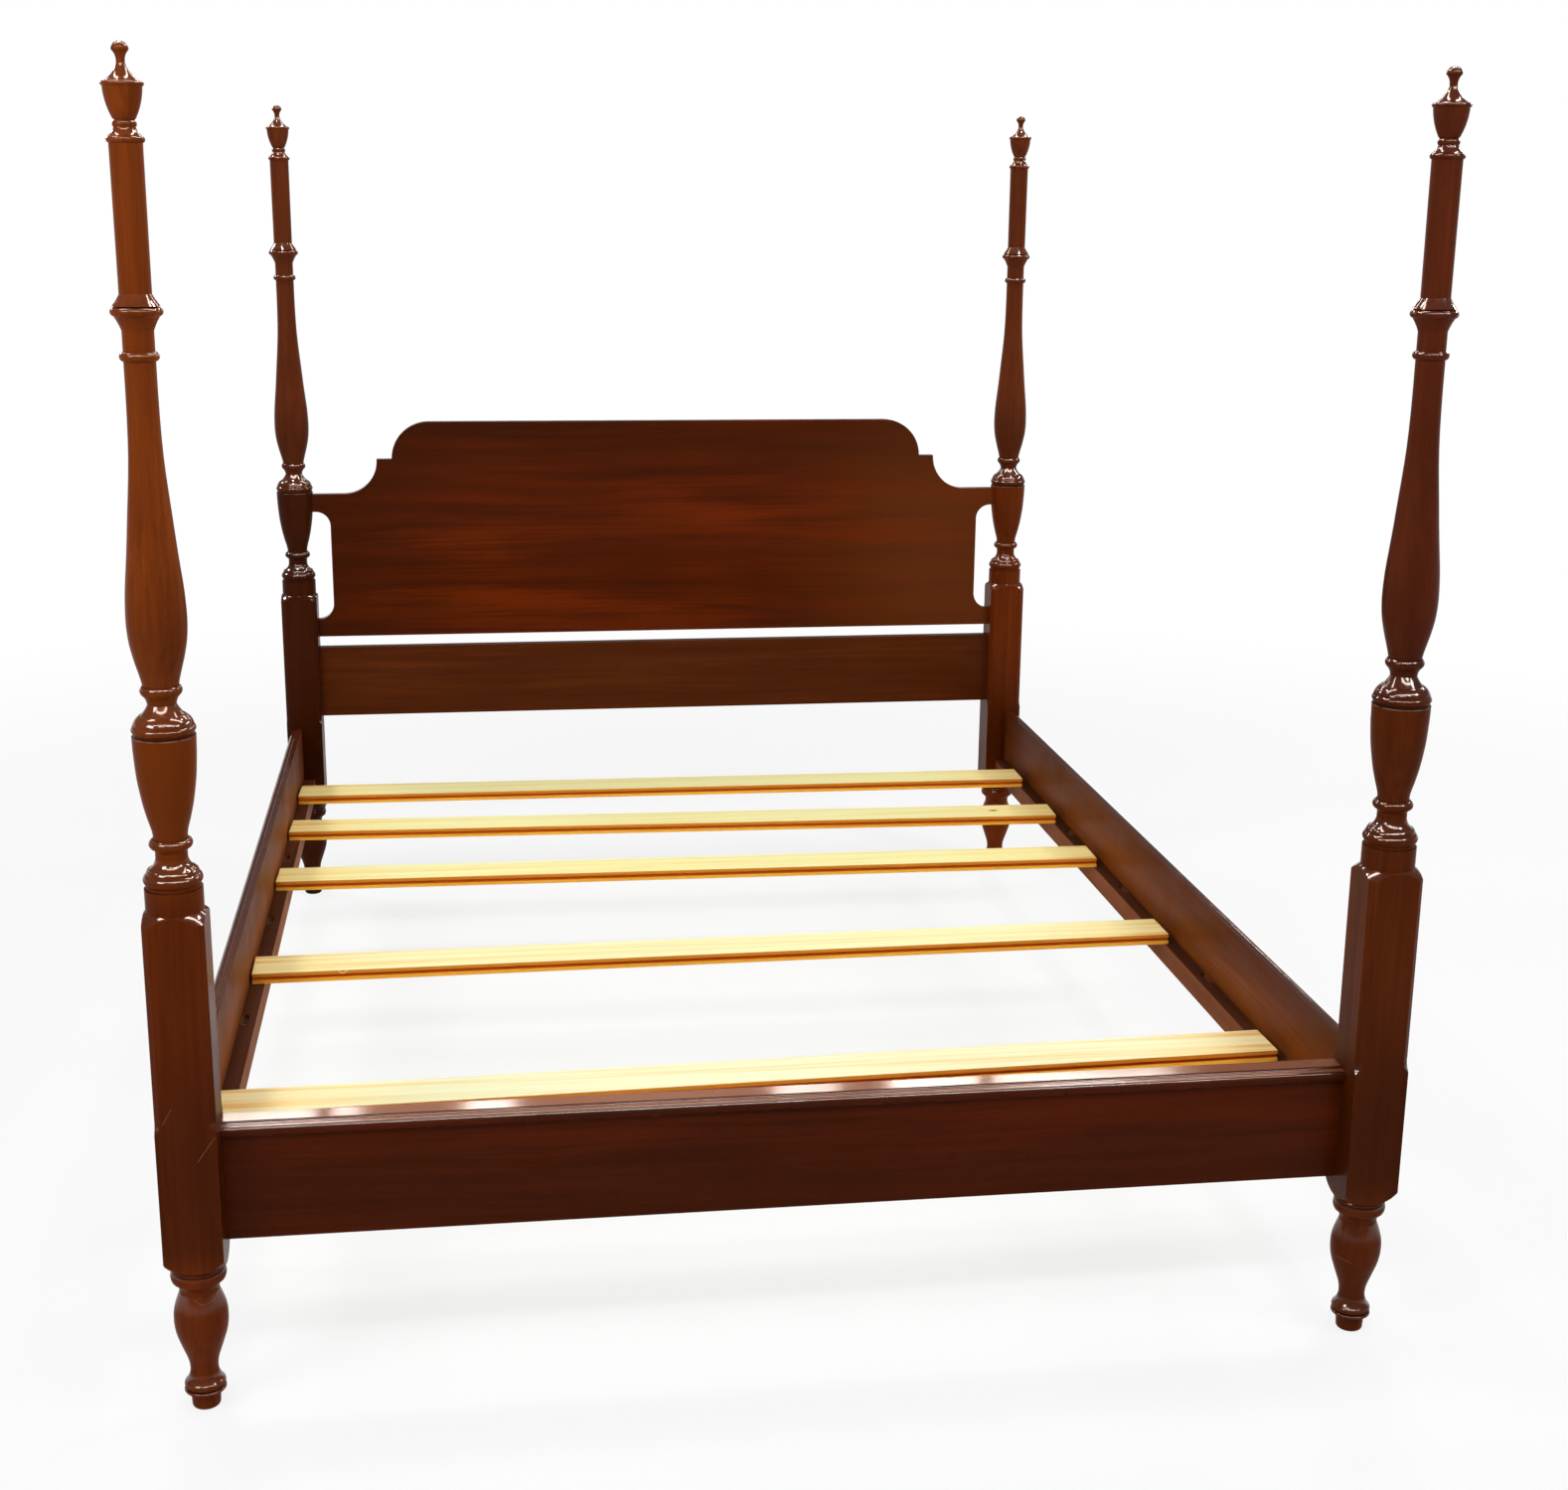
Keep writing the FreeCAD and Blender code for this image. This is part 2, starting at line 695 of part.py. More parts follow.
def headboard_panel():
    # Right half of the outline, from the bottom middle round to the top middle
    edge_x = face_x - notch_radius
    lug_top = panel_bottom + lug_height
    ear_bottom = ear_top - ear_height
    scoop_start = face_x - ear_length
    scoop_end = scoop_start - scoop_radius
    step_level = ear_top + scoop_radius + step_rise
    crown_start = scoop_end - step_width
    crown_top = step_level + crown_radius
    lug = [Vector(0, 0, panel_bottom),
           Vector(panel_end, 0, panel_bottom),
           Vector(panel_end, 0, lug_top),
           Vector(face_x, 0, lug_top)]
    notch_low = Vector(edge_x, 0, lug_top + notch_radius)
    notch_high = Vector(edge_x, 0, ear_bottom - notch_top_radius)
    ear = [Vector(edge_x + notch_top_radius, 0, ear_bottom),
           Vector(panel_end, 0, ear_bottom),
           Vector(panel_end, 0, ear_top),
           Vector(scoop_start, 0, ear_top)]
    step = [Vector(scoop_end, 0, ear_top + scoop_radius),
            Vector(scoop_end, 0, step_level),
            Vector(crown_start, 0, step_level)]
    crown = [Vector(crown_start - crown_radius, 0, crown_top),
             Vector(0, 0, crown_top)]
    edges = [line(start, end) for start, end in zip(lug, lug[1:])]
    edges.append(bowed(lug[-1], notch_low, -quarter_share))
    edges.append(line(notch_low, notch_high))
    edges.append(bowed(notch_high, ear[0], -quarter_share))
    edges = edges + [line(start, end) for start, end in zip(ear, ear[1:])]
    edges.append(bowed(ear[-1], step[0], -quarter_share))
    edges = edges + [line(start, end) for start, end in zip(step, step[1:])]
    edges.append(bowed(step[-1], crown[0], quarter_share))
    edges.append(line(crown[0], crown[1]))
    edges.append(line(crown[1], lug[0]))
    half = filled(edges).extrude(Vector(0, panel_thickness, 0))
    half = half.translated(Vector(0, post_y - panel_thickness / 2, 0))
    return half.fuse(half.mirror(origin, x_axis)).removeSplitter()


# Slat: a board with a groove along its foot edge and a tongue along its head edge
def slat(place_share, skew_angle):
    back = slat_width / 2
    front = -back
    tongue = back + slat_tongue_width
    middle = slat_thickness / 2
    tongue_low, tongue_high = around(middle, slat_tongue_thickness)
    groove_low, groove_high = around(middle, slat_groove_width)
    groove_floor = front + slat_groove_depth
    section = [(front, 0), (back, 0), (back, tongue_low), (tongue, tongue_low), (tongue, tongue_high),
               (back, tongue_high), (back, slat_thickness), (front, slat_thickness), (front, groove_high),
               (groove_floor, groove_high), (groove_floor, groove_low), (front, groove_low), (front, 0)]
    corners = [Vector(-slat_length / 2, across, up) for across, up in section]
    board = Part.Face(Part.makePolygon(corners)).extrude(Vector(slat_length, 0, 0))
    board = board.rotated(origin, z_axis, skew_angle)
    return board.translated(Vector(slat_shift, post_spacing_along * place_share, ledger_top))


# Write every piece
def save(name, shape):
    shape.exportStep(os.path.join("parts", name + ".step"))


os.makedirs("parts", exist_ok=True)
corners = [(side, end) for end in ends for side in sides]
for side, end in corners:
    place = end + "_" + side
    save("lower_post_" + place, lower_post(side, end))
    save("upper_post_" + place, upper_post(side, end))
    save("finial_" + place, finial(side, end))
    save("keeper_plate_" + place, at_corner(keeper_plate(), side, end))
    save("hook_plate_" + place, at_corner(hook_plate(), side, end))

for side in sides:
    save("side_rail_" + side, side_rail(side))
    save("ledger_" + side, ledger(side))

save("foot_rail", foot_rail())
save("head_cross_rail", head_cross_rail())
save("headboard_panel", headboard_panel())
for number, (place_share, skew_angle) in enumerate(zip(slat_place_shares, slat_skew_angles), 1):
    save("slat_" + str(number), slat(place_share, skew_angle))

# Fasteners of one kind share a file, as separate solids
save("post_studs", Part.makeCompound([post_stud(side, end) for side, end in corners]))
save("finial_pins", Part.makeCompound([finial_pin(side, end) for side, end in corners]))
keeper_screws = []
hook_screws = []
for side, end in corners:
    keeper_screws = keeper_screws + [at_corner(screw, side, end) for screw in plate_screws(-y_axis, 0)]
    hook_screws = hook_screws + [at_corner(screw, side, end) for screw in plate_screws(y_axis, 0)]
save("keeper_plate_screws", Part.makeCompound(keeper_screws))
save("hook_plate_screws", Part.makeCompound(hook_screws))
ledger_screws = []
for side in sides:
    ledger_screws = ledger_screws + [at_corner(screw, side, "head") for screw in ledger_screws_right(0)]
save("ledger_screws", Part.makeCompound(ledger_screws))
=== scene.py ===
import bpy
import math
from mathutils import Matrix, Vector


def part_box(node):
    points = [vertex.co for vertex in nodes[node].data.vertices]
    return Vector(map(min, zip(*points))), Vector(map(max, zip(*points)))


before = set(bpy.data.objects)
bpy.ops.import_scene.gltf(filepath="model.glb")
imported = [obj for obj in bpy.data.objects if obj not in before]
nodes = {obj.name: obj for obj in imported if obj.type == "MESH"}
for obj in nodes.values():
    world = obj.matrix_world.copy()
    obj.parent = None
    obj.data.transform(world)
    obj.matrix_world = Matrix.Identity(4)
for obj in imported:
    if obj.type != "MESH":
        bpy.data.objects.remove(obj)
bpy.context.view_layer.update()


# Lower posts: each is one mahogany billet, turned at the foot and stem and left square between them,
# where the rails meet it. The wood is stained red brown and varnished, and stain and painted shade
# darken the turned grooves. Shoes and brooms have rubbed the feet and scratched the front, and the
# pale rubbed arrises also carry painted glints.
class Shade:
    """A value spread over a surface: arithmetic on it adds Math nodes to the material."""

    def __init__(self, tree, socket):
        self.tree = tree
        self.socket = socket

    def node(self, kind, settings=None, sockets=None, output=0):
        added = self.tree.nodes.new(kind)
        for name, value in (settings or {}).items():
            setattr(added, name, value)
        for name, value in (sockets or {}).items():
            if isinstance(value, Shade):
                self.tree.links.new(value.socket, added.inputs[name])
            else:
                added.inputs[name].default_value = value
        return Shade(self.tree, added.outputs[output])

    def maths(self, operation, first, second):
        return self.node("ShaderNodeMath", {"operation": operation}, {0: first, 1: second})

    def __add__(self, other):
        return self.maths("ADD", self, other)

    def __sub__(self, other):
        return self.maths("SUBTRACT", self, other)

    def __rsub__(self, other):
        return self.maths("SUBTRACT", other, self)

    def __mul__(self, other):
        return self.maths("MULTIPLY", self, other)

    __radd__ = __add__
    __rmul__ = __mul__

    def vector(self, operation, other, output=0):
        return self.node("ShaderNodeVectorMath", {"operation": operation}, {0: self, 1: other}, output)

    def part(self, axis):
        return self.node("ShaderNodeSeparateXYZ", None, {0: self}, "XYZ".index(axis))

    def length(self):
        return self.vector("LENGTH", (0.0, 0.0, 0.0), 1)

    def unsigned(self):
        return self.node("ShaderNodeMath", {"operation": "ABSOLUTE"}, {0: self})

    def mottle(self, scale, detail=2.0, roughness=0.5):
        sockets = {"Vector": self, "Scale": scale, "Detail": detail, "Roughness": roughness}
        return self.node("ShaderNodeTexNoise", None, sockets)

    def drawn(self, scale, length_share, detail=2.0, roughness=0.5):
        # Mottle that is drawn out along the grain
        return self.vector("MULTIPLY", (1.0, 1.0, length_share)).mottle(scale, detail, roughness)

    def between(self, low, high):
        settings = {"interpolation_type": "SMOOTHSTEP"}
        return self.node("ShaderNodeMapRange", settings, {0: self, 1: low, 2: high, 3: 0.0, 4: 1.0})

    def over(self, below, above):
        # The value as a mask that lays one colour over another
        tints = {0: self}
        for place, colour in ((6, below), (7, above)):
            tints[place] = colour if isinstance(colour, Shade) else (*colour, 1.0)
        return self.node("ShaderNodeMix", {"data_type": "RGBA"}, tints, 2)


def new_finish(name):
    finish = bpy.data.materials.new(name)
    finish.use_nodes = True
    tree = finish.node_tree
    tree.nodes.clear()
    place = Shade(tree, tree.nodes.new("ShaderNodeTexCoord").outputs["Object"])
    return finish, place


def facing(place):
    return place.node("ShaderNodeNewGeometry", output="Normal")


def rounded(place, radius):
    # The way a surface faces when its sharp edges are softened by the radius
    return place.node("ShaderNodeBevel", {"samples": 6}, {"Radius": radius})


def hollow(place, reach):
    # How far a place is shut in by its own piece
    settings = {"samples": 8, "only_local": True}
    return 1.0 - place.node("ShaderNodeAmbientOcclusion", settings, {"Distance": reach}, "AO")


BUMP_DEPTH = 0.001


def bumped(height, strength, sockets=None):
    sockets = {"Strength": strength, "Distance": BUMP_DEPTH, "Height": height, **(sockets or {})}
    return height.node("ShaderNodeBump", None, sockets)


def close(shader, kind="ShaderNodeOutputMaterial"):
    output = shader.tree.nodes.new(kind)
    shader.tree.links.new(shader.socket, output.inputs["Surface"])


def shine(place, looks, fixed):
    # Closes a material in a shader with the looks that vary and the values that don't
    close(place.node("ShaderNodeBsdfPrincipled", None, {**fixed, **looks}))


STROKE_RAGGED = 420.0
STROKE_OUTER, STROKE_INNER = 1.4, 0.6


def strokes(place, runs, width):
    # Thin strokes on the foot side of a piece, each from one (x, z) place to another
    flat = place.vector("MULTIPLY", (1.0, 0.0, 1.0))
    wander = place.mottle(STROKE_RAGGED) * width
    drawn = None
    for start, end in runs:
        first = Vector((start[0], 0.0, start[1]))
        run = Vector((end[0], 0.0, end[1])) - first
        offset = flat.vector("SUBTRACT", first)
        share = offset.vector("DOT_PRODUCT", run / run.length_squared, 1)
        held = share.node("ShaderNodeClamp", None, {"Value": share})
        nearest = held.node("ShaderNodeVectorMath", {"operation": "SCALE"}, {0: run, "Scale": held})
        away = offset.vector("SUBTRACT", nearest).length() + wander
        stroke = away.between(width * STROKE_OUTER, width * STROKE_INNER)
        drawn = stroke if drawn is None else drawn.maths("MAXIMUM", drawn, stroke)
    return drawn


TURN_TO_GRAIN = {"X": (0.0, -math.pi / 2, 0.0), "Y": (math.pi / 2, 0.0, 0.0), "Z": (0.0, 0.0, 0.0)}
SWAY_WAVE = (3.2, 0.3, 2.0)
SIDE_SWAY = 0.8


def swayed_grain(place, along, start, sway):
    # Coordinates with the grain along z, started at a place of their own and gently waved
    wood = place.node("ShaderNodeMapping", None,
                      {"Vector": place, "Location": start, "Rotation": TURN_TO_GRAIN[along]})
    wave = wood.drawn(*SWAY_WAVE)
    push = wave.node("ShaderNodeCombineXYZ", None,
                     {0: wave * sway, 1: wave * (SIDE_SWAY * sway), 2: 0.0})
    return wood.vector("ADD", push)


# Each figure of mahogany: scale across the grain, share of it along the grain, detail and roughness
RIBBON = (36.0, 0.055, 3.0, 0.55)
STREAK = (165.0, 0.02, 3.0, 0.6)
FIBRE = (700.0, 0.03, 2.0, 0.6)
PORES = (1500.0, 0.035, 1.0)
FLAME = (11.0, 0.14, 3.0)
CLOUD = (5.0, 0.4, 2.0)
TONE_RANGE, FLAME_RANGE, CLOUD_RANGE, PORE_RANGE = (0.28, 0.70), (0.48, 0.68), (0.40, 0.66), (0.60, 0.72)
FLAME_SHARE, CLOUD_SHARE, PORE_SHARE = 0.5, 0.3, 0.3
PORE_DARKNESS = 0.35
MAHOGANY_SWAY = 0.05


def figured(grain, tones):
    # The wood's own figure in tones that run from dark through middle to light
    dark, middle, light = tones
    colour = grain["tone"].over(dark, middle)
    colour = (grain["flame"] * FLAME_SHARE).over(colour, light)
    colour = (grain["cloud"] * CLOUD_SHARE).over(colour, dark)
    return (grain["pores"] * PORE_SHARE).over(colour, tuple(PORE_DARKNESS * part for part in dark))


# Wear, varnish and painted light: edges rub pale with wear and painted glints, grooves keep stain
# deepened by painted shade, and the film is smeared and slightly waved
ARRIS_RADIUS, ARRIS_RUB_AND_GLINT_RANGE = 0.0011, (0.015, 0.10)
GROOVE_REACH, GROOVE_RANGE = 0.009, (0.22, 0.62)
WEAR_AND_GLINT_MOTTLE, WEAR_AND_GLINT_RANGE = (60.0, 3.0), (0.40, 0.66)
SMEAR, SMEAR_RANGE = (11.0, 3.0), (0.35, 0.72)
GROOVE_SHARE, WEAR_AND_GLINT_SHARE, WEAR_AND_GLINT_PALENESS = 0.8, 0.55, 2.0
SMEAR_DULLS, PORES_DULL, GROOVE_DULLS = 0.10, 0.08, 0.15
SMEAR_THINS, GROOVE_THINS = 0.25, 0.7
POLISHED_SLOPE = (0.16, 0.50)
FILM_WAVES = (240.0, 2.0)
FILM_BUMP = 0.012
FILM_IOR = 1.7


def mahogany(name, along, start, tones, film, touch=None):
    """Stained and varnished mahogany; touch adds what one piece alone shows."""
    light = tones[2]
    finish, place = new_finish(name)
    wood = swayed_grain(place, along, start, MAHOGANY_SWAY)
    ribbon = wood.drawn(*RIBBON)
    streak = wood.drawn(*STREAK)
    fibre = wood.drawn(*FIBRE)
    pores = wood.drawn(*PORES).between(*PORE_RANGE)
    grain = {"tone": (ribbon * 0.55 + streak * 0.3 + fibre * 0.15).between(*TONE_RANGE),
             "flame": (wood.drawn(*FLAME) * 0.75 + streak * 0.25).between(*FLAME_RANGE),
             "cloud": wood.drawn(*CLOUD).between(*CLOUD_RANGE),
             "pores": pores}
    colour = figured(grain, tones)
    if touch is not None:
        colour = touch(place, grain, colour)
    arris = rounded(place, ARRIS_RADIUS)
    face = facing(place)
    arris_rub_and_glint = (1.0 - arris.vector("DOT_PRODUCT", face, 1)).between(*ARRIS_RUB_AND_GLINT_RANGE)
    groove = hollow(place, GROOVE_REACH).between(*GROOVE_RANGE)
    worn_and_glinting = arris_rub_and_glint * (1.0 - groove) * place.mottle(*WEAR_AND_GLINT_MOTTLE).between(*WEAR_AND_GLINT_RANGE)
    # Stain and painted shade darken the grooves
    colour = (groove * GROOVE_SHARE).over(colour, film["groove"])
    # Rubbed arrises are paled, partly by wear and partly as painted glints
    colour = (worn_and_glinting * WEAR_AND_GLINT_SHARE).over(colour, tuple(WEAR_AND_GLINT_PALENESS * part for part in light))
    smear = place.mottle(*SMEAR).between(*SMEAR_RANGE)
    roughness = film["roughness"] + smear * SMEAR_DULLS + pores * PORES_DULL + groove * GROOVE_DULLS
    # The polish is full on the upper sides of mouldings and rubbed thin on upright faces
    polished = face.part("Z").between(*POLISHED_SLOPE)
    weight = film["thin_coat"] + polished * (film["coat"] - film["thin_coat"])
    weight = weight * (1.0 - smear * SMEAR_THINS) * (1.0 - groove * GROOVE_THINS)
    film_waves = place.mottle(*FILM_WAVES) * 0.6 + fibre * 0.25 - pores * 0.5
    normal = bumped(film_waves, FILM_BUMP, {"Normal": arris})
    looks = {"Base Color": colour, "Roughness": roughness, "Coat Weight": weight, "Normal": normal}
    shine(place, looks, {"Specular IOR Level": film["level"], "Coat Roughness": film["coat_roughness"],
                         "Coat IOR": FILM_IOR})
    return finish


def dress(node, finish):
    nodes[node].data.materials.clear()
    nodes[node].data.materials.append(finish)


def scaled(tones, share):
    return tuple(tuple(part * by for part, by in zip(tone, share)) for tone in tones)


def billet(number, step, first=(0.0, 0.0, 0.0)):
    # Where the grain of one of several like pieces starts, so that no two show the same figure
    return tuple(place + part * number for place, part in zip(first, step))


CORNERS = ("foot_left", "foot_right", "head_left", "head_right")
POST_TONES = ((0.066, 0.0120, 0.0014), (0.116, 0.0225, 0.0026), (0.165, 0.0350, 0.0046))
POST_FILM = {"level": 0.02, "roughness": 0.28, "coat": 1.0, "thin_coat": 0.02, "coat_roughness": 0.10,
             "groove": (0.012, 0.0030, 0.0009)}
# Each lower post's tones are scaled for its own tone and for painted light and shade; the head-left post
# is painted darker as shade
LOWER_POST_TONE_AND_LIGHT_SHARES = {"foot_left": (1.11, 0.95, 0.8), "foot_right": (0.92, 0.88, 0.9),
                     "head_left": (0.48, 0.46, 0.7), "head_right": (1.35, 1.20, 0.9)}
BARE_WOOD = (0.42, 0.22, 0.10)
POST_SCRATCHES = {
    "foot_left": [((-0.786, 0.366), (-0.7625, 0.400)), ((-0.826, 0.420), (-0.814, 0.441)),
                  ((-0.8015, 0.1666), (-0.7931, 0.1602)), ((-0.7931, 0.1602), (-0.7775, 0.1629)),
                  ((-0.7775, 0.1629), (-0.7730, 0.1705))],
    "foot_right": [((0.7660, 0.1200), (0.7810, 0.1165))],
}
SCRATCH_WIDTH = 0.0006
POST_FRONT = (-1.075, -1.080)
# Painted shade: the tone that darkens the block low down, and the heights it spans
LOW_SHADE_TONE, LOW_BLOCK, FOOT_TURNING = (0.030, 0.0054, 0.0007), (0.60, 0.34), (0.19, 0.25)
# A painted patch of light on the upper part of the foot-left lower post
LIT_PATCH_TONE, LIT_PATCH_HEIGHT = (0.190, 0.0400, 0.0030), (0.68, 0.78)
JOINT_DUST, DUST_PATCHES, DUST_RANGE = (0.20, 0.15, 0.11), 90.0, (0.3, 0.6)
DUST_LOW, DUST_HIGH = 0.0016, 0.0008
LOW_SHADE_SHARE, LIT_PATCH_SHARE, DUST_SHARE, SCRATCH_SHARE = 0.6, 0.45, 0.8, 0.4
joint_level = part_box("lower_post_foot_left")[1][2]


def used_post(corner):
    # Painted shade darkens the block low down, painted light brightens the foot-left post's upper part,
    # dust lies along the joint, and the foot posts are scratched
    def touch(place, grain, colour):
        height = place.part("Z")
        low = height.between(*LOW_BLOCK) * height.between(*FOOT_TURNING)
        colour = (low * LOW_SHADE_SHARE).over(colour, LOW_SHADE_TONE)
        if corner == "foot_left":
            # Painted light brightens this post's upper part
            colour = (height.between(*LIT_PATCH_HEIGHT) * LIT_PATCH_SHARE).over(colour, LIT_PATCH_TONE)
        rim = height.between(joint_level - DUST_LOW, joint_level - DUST_HIGH)
        dust = rim * place.mottle(DUST_PATCHES).between(*DUST_RANGE)
        colour = (dust * DUST_SHARE).over(colour, JOINT_DUST)
        if corner in POST_SCRATCHES:
            scratches = strokes(place, POST_SCRATCHES[corner], SCRATCH_WIDTH)
            front = place.part("Y").between(*POST_FRONT)
            colour = (scratches * front * SCRATCH_SHARE).over(colour, BARE_WOOD)
        return colour
    return touch


for number, corner in enumerate(CORNERS):
    start = billet(number, (0.37, 0.21, 0.53))
    tones = scaled(POST_TONES, LOWER_POST_TONE_AND_LIGHT_SHARES[corner])
    dress("lower_post_" + corner,
          mahogany("lower_post_wood_" + corner, "Z", start, tones, POST_FILM, used_post(corner)))


# Upper posts: a long turned vase and shaft of the same stock, each from a billet of its own.
# A steel stud screws it to the lower post at the dark line above the lower vase.
# Each upper post's and finial's tones are scaled for its own tone and for painted light, brightest on
# the foot-left post
UPPER_POST_TONE_AND_LIGHT_SHARES = {"foot_left": (1.72, 1.75, 1.9), "foot_right": (0.95, 0.92, 2.2),
                     "head_left": (1.25, 1.36, 3.0), "head_right": (1.25, 1.36, 3.0)}
# Painted shade low on the vase and in the groove of the joint
LOW_VASE, LOW_VASE_SHARE = (1.16, 1.03), 0.35
JOINT_GROOVE, GROOVE_EDGE, JOINT_SHARE = 0.0045, 0.0006, 0.7


def dark_joint(place, grain, colour):
    # Painted shade darkens the vase low down, and most of all the groove of the joint
    height = place.part("Z")
    colour = (height.between(*LOW_VASE) * LOW_VASE_SHARE).over(colour, LOW_SHADE_TONE)
    groove_top = joint_level + JOINT_GROOVE
    low = height.between(groove_top + GROOVE_EDGE, groove_top - GROOVE_EDGE)
    return (low * JOINT_SHARE).over(colour, POST_FILM["groove"])


for number, corner in enumerate(CORNERS):
    start = billet(number, (0.29, 0.43, 0.61), (2.0, 0.0, 0.0))
    tones = scaled(POST_TONES, UPPER_POST_TONE_AND_LIGHT_SHARES[corner])
    dress("upper_post_" + corner,
          mahogany("upper_post_wood_" + corner, "Z", start, tones, POST_FILM, dark_joint))


# Finials: small turned urns of mahogany, each with a knob above a lid.
# They lift off the steel pins that hold them on the posts.
for number, corner in enumerate(CORNERS):
    start = billet(number, (0.17, 0.31, 0.11), (4.0, 0.0, 0.0))
    tones = scaled(POST_TONES, UPPER_POST_TONE_AND_LIGHT_SHARES[corner])
    dress("finial_" + corner, mahogany("finial_wood_" + corner, "Z", start, tones, POST_FILM))


# Foot rail: a thick mahogany board with a round nose and a quirk run along its top edge.
# Its tenons are glued into the foot posts, and knees and boxes have chipped the nose.
FOOT_RAIL_TONES = ((0.040, 0.0066, 0.0010), (0.067, 0.0112, 0.0018), (0.116, 0.0142, 0.0020))
FOOT_RAIL_FILM = {"level": 0.02, "roughness": 0.26, "coat": 1.0, "thin_coat": 0.02,
                  "coat_roughness": 0.10, "groove": (0.010, 0.0024, 0.0008)}
# A painted sheen that pales the rail's flat top
TOP_SHEEN_TONE, TOP_SLOPE, TOP_SHEEN_SHARE = (0.30, 0.090, 0.034), (0.85, 0.98), 0.7
NOSE_CHIPS = [((-0.507, 0.3920), (-0.496, 0.3926)), ((-0.489, 0.3912), (-0.485, 0.3914)),
              ((-0.2910, 0.3940), (-0.2888, 0.3942))]
CHIP_WIDTH, CHIP_SHARE = 0.0011, 0.8
NOSE_FRONT = (-1.112, -1.114)


def chipped_nose(place, grain, colour):
    # The flat top is painted paler as a sheen, and the nose is chipped
    top = facing(place).part("Z").between(*TOP_SLOPE)
    colour = (top * TOP_SHEEN_SHARE).over(colour, TOP_SHEEN_TONE)
    front = place.part("Y").between(*NOSE_FRONT)
    return (strokes(place, NOSE_CHIPS, CHIP_WIDTH) * front * CHIP_SHARE).over(colour, BARE_WOOD)


dress("foot_rail",
      mahogany("foot_rail_wood", "X", (2.1, 0.9, 0.4), FOOT_RAIL_TONES, FOOT_RAIL_FILM, chipped_nose))


# Head cross rail: a plain mahogany board across the head posts, below the panel.
# It is tenoned into the posts, stained to match and a little darker at its ends.
CROSS_RAIL_TONES = ((0.063, 0.0130, 0.0022), (0.108, 0.0230, 0.0040), (0.155, 0.0320, 0.0055))
BOARD_FILM = {"level": 0.02, "roughness": 0.30, "coat": 0.6, "thin_coat": 0.02, "coat_roughness": 0.12,
              "groove": (0.012, 0.0030, 0.0009)}
# A darker tone for the ends and tops of boards
END_DARK_TONE, TONE_WANDER = (0.036, 0.0074, 0.0012), 0.10
CROSS_RAIL_ENDS = {"near": 0.60, "far": 0.86, "left_share": 0.3, "right_share": 0.4}


def toned_ends(near, far, left_share, right_share):
    # The wood is darker from one distance off the middle to another
    def touch(place, grain, colour):
        across = place.part("X")
        wander = grain["flame"] * TONE_WANDER
        left = (0.0 - across - wander).between(near, far)
        right = (across - wander).between(near, far)
        return (left * left_share + right * right_share).over(colour, END_DARK_TONE)
    return touch


dress("head_cross_rail",
      mahogany("cross_rail_wood", "X", (1.3, 0.5, 0.7), CROSS_RAIL_TONES, BOARD_FILM,
               toned_ends(**CROSS_RAIL_ENDS)))


# Headboard panel: wide mahogany boards glued edge to edge, sawn to its stepped outline.
# Its ears and lugs sit in mortises in the head posts, and the wood is redder in the middle.
PANEL_TONES = ((0.050, 0.0084, 0.0011), (0.112, 0.0150, 0.0013), (0.205, 0.0260, 0.0015))
PANEL_ENDS = {"near": 0.36, "far": 0.80, "left_share": 0.6, "right_share": 0.0}
# A paler brown for the panel's right side, and a darker band along its top
PALER_PANEL_TONE, PALER_FROM_TO, PALER_SHARE = (0.135, 0.0320, 0.0062), (0.20, 0.62), 0.6
TOP_DARK_DEPTH, TOP_DARK_WANDER, TOP_DARK_SHARE = 0.18, 0.03, 0.5
panel_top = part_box("headboard_panel")[1][2]


def toned_panel(place, grain, colour):
    # The panel is darker at the left end and along the top, and paler brown towards the right
    colour = toned_ends(**PANEL_ENDS)(place, grain, colour)
    paler = (place.part("X") - grain["flame"] * TONE_WANDER).between(*PALER_FROM_TO)
    colour = (paler * PALER_SHARE).over(colour, PALER_PANEL_TONE)
    height = place.part("Z") + grain["flame"] * TOP_DARK_WANDER
    upper = height.between(panel_top - TOP_DARK_DEPTH, panel_top)
    return (upper * TOP_DARK_SHARE).over(colour, END_DARK_TONE)


dress("headboard_panel",
      mahogany("panel_wood", "X", (0.3, 0.1, 0.2), PANEL_TONES, BOARD_FILM, toned_panel))


# Side rails: long mahogany boards with a small nose along the outer top edge, hooked to the posts.
# The moulded edge is polished, and the inner face has a thin satin coat over paler wood, made paler
# still by painted light.
SIDE_RAIL_TONES = ((0.052, 0.0105, 0.0026), (0.090, 0.0180, 0.0046), (0.130, 0.0280, 0.0070))
INNER_FACE_TONES = ((0.150, 0.0360, 0.0050), (0.225, 0.0560, 0.0080), (0.275, 0.0760, 0.0120))
SATIN_FILM = {"level": 0.02, "roughness": 0.46, "coat": 0.9, "thin_coat": 0.03, "coat_roughness": 0.12,
              "groove": (0.014, 0.0036, 0.0012)}
SIDES = (("left", 1.0), ("right", -1.0))
# Painted light: the paler tint of the inner faces and how it grows towards the head and on the left
LIT_INSIDE_TONE, LIGHT_STEP = (0.420, 0.1400, 0.0330), 0.10
INNER_FACE, LIGHT_REACH, HEAD_REACH = (0.6, 0.9), (-0.4, 0.3), (0.55, 1.0)
# Heights where the inner face is darker near its top, and the share of the painted head-post shadow
UPPER_DARK_LOW, UPPER_DARK_HIGH = 0.09, 0.01
UPPER_DARK_SHARE, HEAD_SHADOW_SHARE = 0.6, 0.6
rail_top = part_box("side_rail_left")[1][2]


